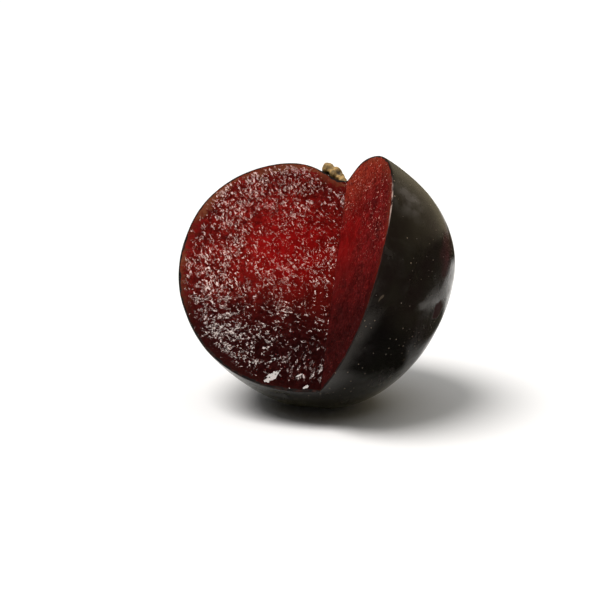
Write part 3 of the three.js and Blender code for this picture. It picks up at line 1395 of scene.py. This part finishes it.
@dataclass(frozen=True)
class StemStub:
    """The short, knotty stub of the stem, bent over and broken off."""

    root_towards: Place = (1.2, 1.2, 21.0)
    knee: Place = (-0.6, 0.3, 1.7)
    tip: Place = (-4.8, 2.4, 3.75)
    clearance: float = 0.6
    root_past: float = 0.14
    profile: tuple[Span, ...] = (
        (0.0, 1.3),
        (0.06, 1.05),
        (0.2, 0.95),
        (0.3, 1.15),
        (0.4, 1.1),
        (0.5, 1.45),
        (0.62, 1.52),
        (0.72, 1.2),
        (0.78, 1.25),
        (0.88, 1.6),
        (0.96, 1.45),
        (0.985, 1.1),
    )
    profile_softness: int = 5
    tip_narrowed: float = 0.86
    tip_dished: float = 0.25
    sides: int = 48
    rings: int = 90
    ridge_count: int = 5
    ridge_twist: float = 2.2
    ridge_share: float = 0.07
    bark_share: float = 0.07
    bark_size: float = 0.6
    bark_squeeze: Place = (1.0, 1.0, 0.55)
    bark_seed: float = 21.0
    lump_share: float = 0.24
    lump_size: float = 1.5
    lump_seed: float = 22.0
    crest_ridges: float = 0.05
    crest_bark: float = 0.08
    crest_contrast: float = 2.0
    crest_ends: Span = (0.5, 0.1)

    def build(self, finish: StemFinish) -> bpy.types.Object:
        """Builds and dresses the stub.

        Args:
            finish: Its bark.

        Returns:
            The object.
        """
        base = unit(self.root_towards)
        root = base * (FRUIT.radius(base[None, :])[0] + self.clearance)
        steps = np.linspace(-self.root_past, 1, self.rings)
        knee, tip = np.array(self.knee), np.array(self.tip)
        line = root + 2 * (steps * (1 - steps))[:, None] * knee + (steps**2)[:, None] * tip
        tangent = unit(np.gradient(line, axis=0))
        across = unit(np.cross(knee, tip))
        inward = np.cross(across, tangent)
        radius = np.interp(np.clip(steps, 0, 1), *np.array(self.profile).T)
        window = np.ones(self.profile_softness) / self.profile_softness
        radius = np.convolve(np.pad(radius, self.profile_softness // 2, "edge"), window, "valid")
        radius[-1] *= self.tip_narrowed

        turn = np.linspace(0, 2 * math.pi, self.sides, endpoint=False)
        ring = np.cos(turn)[None, :, None] * inward[:, None, :]
        ring = (ring + np.sin(turn)[None, :, None] * across).reshape(-1, 3)
        radius = np.repeat(radius, self.sides)
        bare = np.repeat(line, self.sides, axis=0) + radius[:, None] * ring
        ridges = np.cos(self.ridge_count * turn[None, :] + self.ridge_twist * steps[:, None]).ravel()
        bark = perlin(bare * np.array(self.bark_squeeze), self.bark_size, self.bark_seed)
        lumps = self.lump_share * perlin(bare, self.lump_size, self.lump_seed)
        relief = self.ridge_share * ridges + self.bark_share * bark + lumps
        points = bare + (relief * radius)[:, None] * ring
        # The crest also sets where the bark's finish paints shade into its creases.
        crest = self.crest_bark * bark + lumps + self.crest_ridges * ridges
        crest = np.clip(0.5 + self.crest_contrast * crest, 0, 1)

        points = np.concatenate([points, [line[0], line[-1] - self.tip_dished * tangent[-1]]])
        crest = np.concatenate([crest, self.crest_ends])
        inner = np.arange(self.rings * self.sides).reshape(self.rings, self.sides)
        poles = np.full((2, self.sides), inner.size) + [[0], [1]]
        grid = np.vstack([poles[:1], inner, poles[1:]])
        faces = between(np.hstack([grid, grid[:, :1]]))
        made = closed_mesh("stem_stub", FRUIT.resting(points), faces)
        made.data.materials.append(finish.material())
        carry(made.data, "relief", crest)
        return made


# --- What is scattered over the surfaces -----------------------------------------------------


@dataclass(frozen=True)
class Scatter:
    """Low round dots scattered over some of the fruit's surfaces by a Geometry Nodes tree."""

    name: str
    kinds: tuple[Kind, ...]
    density: float
    clearance: float
    smallest: float
    largest: float
    flatness: float
    seed: int
    patch_size: float = 8.0
    patch_span: Span = (0.35, 0.65)
    segments: int = 8
    rings: int = 4
    lowest: float = 1.0

    @property
    def inputs(self) -> dict[str, float | int]:
        """The values of the tree's own inputs.

        Returns:
            Values in metres, by the inputs' names.
        """
        return {
            "Density": self.density / MM**2,
            "Clearance": self.clearance * MM,
            "Smallest": self.smallest * MM,
            "Largest": self.largest * MM,
            "Flatness": self.flatness,
            "Seed": self.seed,
        }

    def tree(self, material: bpy.types.Material) -> bpy.types.NodeTree:
        """Builds the tree: scatter points, put a flattened ball on each, and join them.

        Args:
            material: The dots' own material.

        Returns:
            The tree.
        """
        group = bpy.data.node_groups.new(f"{self.name}_tree", "GeometryNodeTree")
        face = group.interface
        face.new_socket("Geometry", in_out="INPUT", socket_type="NodeSocketGeometry")
        for label, value in self.inputs.items():
            kind = "NodeSocketInt" if isinstance(value, int) else "NodeSocketFloat"
            face.new_socket(label, in_out="INPUT", socket_type=kind)
        face.new_socket("Geometry", in_out="OUTPUT", socket_type="NodeSocketGeometry")

        tree = NodeTree(group)
        given = tree.add("NodeGroupInput").outputs
        patches = tree.make(0, "GeometryNodeInputPosition").noise(self.patch_size * MM)
        limits = {"Value": patches, "From Min": self.patch_span[0], "From Max": self.patch_span[1]}
        spread = tree.add(
            "GeometryNodeDistributePointsOnFaces",
            {
                "Mesh": given["Geometry"],
                "Distance Min": given["Clearance"],
                "Density Max": given["Density"],
                "Density Factor": tree.make("Result", "ShaderNodeMapRange", limits),
                "Seed": given["Seed"],
            },
            distribute_method="POISSON",
        )
        sizes = {2: given["Smallest"], 3: given["Largest"], "Seed": given["Seed"]}
        size = tree.make(1, "FunctionNodeRandomValue", sizes, data_type="FLOAT")
        scale = {"X": size, "Y": size, "Z": size * given["Flatness"]}
        ball = {"Segments": self.segments, "Rings": self.rings, "Radius": 1.0}
        put = {
            "Points": spread.outputs["Points"],
            "Rotation": spread.outputs["Rotation"],
            "Scale": tree.make("Vector", "ShaderNodeCombineXYZ", scale),
            "Instance": tree.make("Mesh", "GeometryNodeMeshUVSphere", ball),
        }
        dots = tree.make("Instances", "GeometryNodeInstanceOnPoints", put)
        for kind in ("GeometryNodeRealizeInstances", "GeometryNodeSetShadeSmooth"):
            dots = tree.make("Geometry", kind, {"Geometry": dots})
        painted = {"Geometry": dots, "Material": material}
        dots = tree.make("Geometry", "GeometryNodeSetMaterial", painted)
        tree.add("NodeGroupOutput", {"Geometry": dots})
        return group

    def bed(self, fruit: bpy.types.Mesh) -> bpy.types.Mesh:
        """The part of the fruit's surface that carries the dots.

        Args:
            fruit: The whole fruit's mesh.

        Returns:
            A mesh of its own.
        """
        kinds = read(fruit.polygons, "material_index", 1)[:, 0]
        corners = read(fruit.polygons, "vertices", 3)
        places = read(fruit.vertices, "co", 3, float)
        corners = corners[np.isin(kinds, [kind.value for kind in self.kinds])]
        corners = corners[places[corners][:, :, 2].min(1) > self.lowest * MM]
        used, renumbered = np.unique(corners, return_inverse=True)
        bed = bpy.data.meshes.new(f"{self.name}_bed")
        bed.from_pydata(places[used].tolist(), [], renumbered.reshape(-1, 3).tolist())
        return bed

    def build(self, fruit: bpy.types.Object, finish: Any) -> bpy.types.Object:
        """Scatters the dots over the fruit.

        Args:
            fruit: The finished fruit.
            finish: The dots' own finish.

        Returns:
            One object that holds every dot, as a plain mesh.
        """
        made = linked(self.name, self.bed(fruit.data))
        modifier = made.modifiers.new("scatter", "NODES")
        modifier.node_group = self.tree(finish.material())
        for item in modifier.node_group.interface.items_tree:
            if item.in_out == "INPUT" and item.name in self.inputs:
                modifier[item.identifier] = self.inputs[item.name]
        graph = bpy.context.evaluated_depsgraph_get()
        plain = bpy.data.meshes.new_from_object(made.evaluated_get(graph))
        made.modifiers.remove(modifier)
        made.data = plain
        plain.name = self.name
        return made


# --- The studio ------------------------------------------------------------------------------


@dataclass(frozen=True)
class Lamp:
    """A distant soft light: where it shines from, how strongly, and how wide it looks."""

    name: str
    towards: Place
    strength: float
    angle: float
    mirrored: bool = True
    colour: Colour = WHITE

    def build(self) -> None:
        """Hangs the lamp."""
        light = bpy.data.lights.new(self.name, "SUN")
        light.energy, light.angle, light.color = self.strength, self.angle, self.colour
        lamp = linked(self.name, light)
        lamp.visible_glossy = self.mirrored
        lamp.rotation_euler = Vector(self.towards).to_track_quat("Z", "Y").to_euler()


@dataclass(frozen=True)
class Flag:
    """A dark card that stands on the floor out of sight, and shows in reflections only.

    It may have a lap, which lies along the floor in front of it. Its sides and its top fade out,
    and so does its foot where it is lifted clear of the floor.
    """

    name: str
    foot: Span
    faces_from: float
    width: float
    heights: Span
    lap: float = 0.0
    lift: float = 0.3
    clear: float = 1.0
    soft_side: float = 0.14
    cover: float = 1.0

    @property
    def rows(self) -> tuple[Place, ...]:
        """The card's rows, lap first.

        Returns:
            For each row its share of the lap, its share of the height, and how much it covers.
        """
        foot = 0.0 if self.lift > self.clear else 1.0
        upright = ((0.0, 0.0, foot), (0.0, 0.25, 1.0), (0.0, 0.8, 1.0), (0.0, 1.0, 0.0))
        return ((1.0, 0.0, 0.0), (0.75, 0.0, 1.0)) * (self.lap > 0) + upright

    def build(self, material: bpy.types.Material) -> None:
        """Stands the card up.

        Args:
            material: The card's own material, which reads how it covers.
        """
        turn = math.radians(self.faces_from)
        along = np.array((math.cos(turn), math.sin(turn), 0.0)) * self.width
        inward = np.array((-math.sin(turn), math.cos(turn), 0.0)) * self.lap
        foot = np.array((*self.foot, self.lift))
        columns = ((0.0, 0.0), (self.soft_side, 1.0), (1 - self.soft_side, 1.0), (1.0, 0.0))
        corners, cover = [], []
        for lapped, risen, covers in self.rows:
            for share, inner in columns:
                height = risen * ((1 - share) * self.heights[0] + share * self.heights[1])
                corners.append(foot + (share - 0.5) * along + lapped * inward + (0.0, 0.0, height))
                cover.append(self.cover * covers * inner)
        wide = len(columns)
        starts = [k for k in range(len(corners) - wide) if k % wide < wide - 1]
        quads = [(k, k + 1, k + wide + 1, k + wide) for k in starts]
        mesh = bpy.data.meshes.new(self.name)
        mesh.from_pydata((np.array(corners) * MM).tolist(), [], quads)
        carry(mesh, "cover", np.array(cover))
        mesh.materials.append(material)
        card = linked(self.name, mesh)
        card.visible_camera = card.visible_diffuse = card.visible_shadow = False


@dataclass(frozen=True)
class Studio:
    """A plain pale floor, soft light and the camera."""

    camera_place: Place = (-3.24, -204.63, 67.20)
    camera_target: Place = (-3.24, 0.78, 23.54)
    lens: float = 55.62
    nearest: float = 10.0
    floor_radius: float = 3000.0
    floor_sides: int = 96
    floor_colour: Colour = (0.92, 0.95, 0.99)
    floor_shade: float = 0.99
    card_colour: Colour = (0.01, 0.01, 0.01)
    flags: tuple[Flag, ...] = (
        Flag("flag_right", (30.5, -21.3), 55, 35, (56.0, 1.0), 16.0),
        Flag("flag_front_right", (42.0, -62.0), 45, 60, (32.0, 32.0), cover=0.5),
        Flag("flag_low_right", (76.0, 24.0), 82, 84, (0.5, 0.5), 40.0),
        Flag("flag_back_right", (70.0, 60.0), -12, 96, (23.0, 23.0), 0.0, 19.0),
        Flag("flag_far_right", (110.5, 48.0), 65.5, 300, (52.0, 52.0)),
        Flag("flag_haze_right", (121.0, 52.0), 90, 52, (0.6, 0.6), 46.0, cover=0.42),
        Flag("flag_far_left", (-52.0, 78.0), 30, 90, (62.0, 62.0)),
    )
    surround: float = 1.05
    fill_strength: float = 0.05
    glow_strength: float = 0.44
    glow_towards: Place = (0.72, 0.56, 0.42)
    glow_reach: Span = (0.62, 0.97)
    glow_colour: Colour = (1.0, 0.85, 0.6)
    lamps: tuple[Lamp, ...] = (
        Lamp("overhead", (-0.1, 0.05, 1.0), 1.15, math.radians(100), False),
        Lamp("softbox", (-0.40, -0.21, 0.89), 3.0, math.radians(33), True, (1.0, 0.94, 0.88)),
    )

    def build(self) -> None:
        """Makes the floor, the lights, the cards, the world and the camera."""
        self.floor()
        for lamp in self.lamps:
            lamp.build()
        tree = ShaderTree("dark_card")
        cover = tree.attribute("cover")
        card = tree.finish({"Base Color": self.card_colour, "Roughness": 1.0, "Alpha": cover})
        for flag in self.flags:
            flag.build(card)
        self.world()
        self.camera()
        view = bpy.context.scene.view_settings
        view.view_transform, view.look = "Standard", "None"

    def floor(self) -> None:
        """Lays a wide round floor."""
        tree = ShaderTree("floor_card")
        shade = tuple(channel * self.floor_shade for channel in self.floor_colour)
        colour = tree.blend(tree.fruit_place().noise(40.0), self.floor_colour, shade)
        material = tree.finish({"Base Color": colour, "Roughness": 0.9, "Specular IOR Level": 0.1})
        size = {"vertices": self.floor_sides, "radius": self.floor_radius * MM}
        bpy.ops.mesh.primitive_circle_add(**size, fill_type="NGON")
        floor = bpy.context.active_object
        floor.name = "studio_floor"
        floor.data.materials.append(material)

    def world(self) -> None:
        """Makes an even pale surround, brighter to the eye than it lights, with a glow to one side."""
        world = bpy.data.worlds.new("surround")
        bpy.context.scene.world = world
        world.use_nodes = True
        tree = NodeTree(world.node_tree)
        ways = {0: tree.make("Generated", "ShaderNodeTexCoord"), 1: unit(self.glow_towards)}
        facing = tree.make("Value", "ShaderNodeVectorMath", ways, operation="DOT_PRODUCT")
        glow = facing.fade(*self.glow_reach, self.fill_strength, self.glow_strength)
        lit = {"Color": self.glow_colour, "Strength": glow}
        seen = {"Color": WHITE, "Strength": self.surround}
        either = {
            0: tree.make("Is Camera Ray", "ShaderNodeLightPath"),
            1: tree.make(0, "ShaderNodeBackground", lit),
            2: tree.make(0, "ShaderNodeBackground", seen),
        }
        shown = tree.make(0, "ShaderNodeMixShader", either)
        tree.add("ShaderNodeOutputWorld", {"Surface": shown})

    def camera(self) -> None:
        """Sets up the camera, looking slightly down on the fruit."""
        lens = bpy.data.cameras.new("camera")
        lens.lens, lens.clip_start = self.lens, self.nearest * MM
        camera = linked("camera", lens)
        camera.location = Vector(self.camera_place) * MM
        towards = Vector(self.camera_target) - Vector(self.camera_place)
        camera.rotation_euler = towards.to_track_quat("-Z", "Y").to_euler()
        bpy.context.scene.camera = camera


# --- Everything in order ---------------------------------------------------------------------


FINISHES = {
    Kind.SKIN: SkinFinish(),
    Kind.LEFT_CUT: FleshFinish("flesh_left", NOTCH.left - math.pi),
    Kind.RIGHT_CUT: FleshFinish(
        "flesh_right",
        NOTCH.right,
        bright=srgb(106, 14, 14),
        deep=srgb(92, 17, 17),
        bright_core=(3.0, -8.0, 4.0),
        core_reach=13.0,
        low_shade_heights=(2.0, -23.0),
        low_shade_share=0.92,
        edge_shade_factor=1.0,
        warm_share=0.7,
        grain_size=0.6,
        grain_light=(0.6, 1.4),
        glint_and_fibre_share=0.75,
        border_share=0.25,
        wet=0.4,
        wet_roughness=0.15,
    ),
    Kind.RIND: RindFinish(),
}
PORES = Scatter(
    "lenticels",
    (Kind.SKIN,),
    density=0.3,
    clearance=0.8,
    smallest=0.06,
    largest=0.17,
    flatness=0.22,
    seed=5,
)
BEADS = Scatter(
    "juice_beads",
    (Kind.LEFT_CUT, Kind.RIGHT_CUT),
    density=0.25,
    clearance=0.5,
    smallest=0.05,
    largest=0.16,
    flatness=0.5,
    seed=8,
    patch_size=5.0,
    patch_span=(0.45, 0.75),
)


def place_piece(piece: bpy.types.Object, slot: Slot, *nodes: str) -> None:
    """Gives a piece its body, hides the parts that it stands for, and reports it.

    Args:
        piece: The finished piece.
        slot: Its material slot. Not used.
        nodes: The nodes that it stands for.
    """
    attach(piece, "root")
    if nodes:
        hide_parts(*nodes)
    LOG.info("%s: %d faces", piece.name, len(piece.data.polygons))


def main() -> None:
    """Builds the studio and each piece in order, and notes the sizes."""
    logging.basicConfig(level=logging.INFO, format="%(name)s: %(message)s")
    Studio().build()
    fruit = CutFruit().build(FINISHES)
    place_piece(fruit, Slot.SKIN, "plum")
    place_piece(StemStub().build(StemFinish()), Slot.STEM, "stem")
    place_piece(PORES.build(fruit, PoreFinish()), Slot.SKIN)
    place_piece(BEADS.build(fruit, JuiceFinish()), Slot.FLESH)


if __name__ == "__main__":
    main()
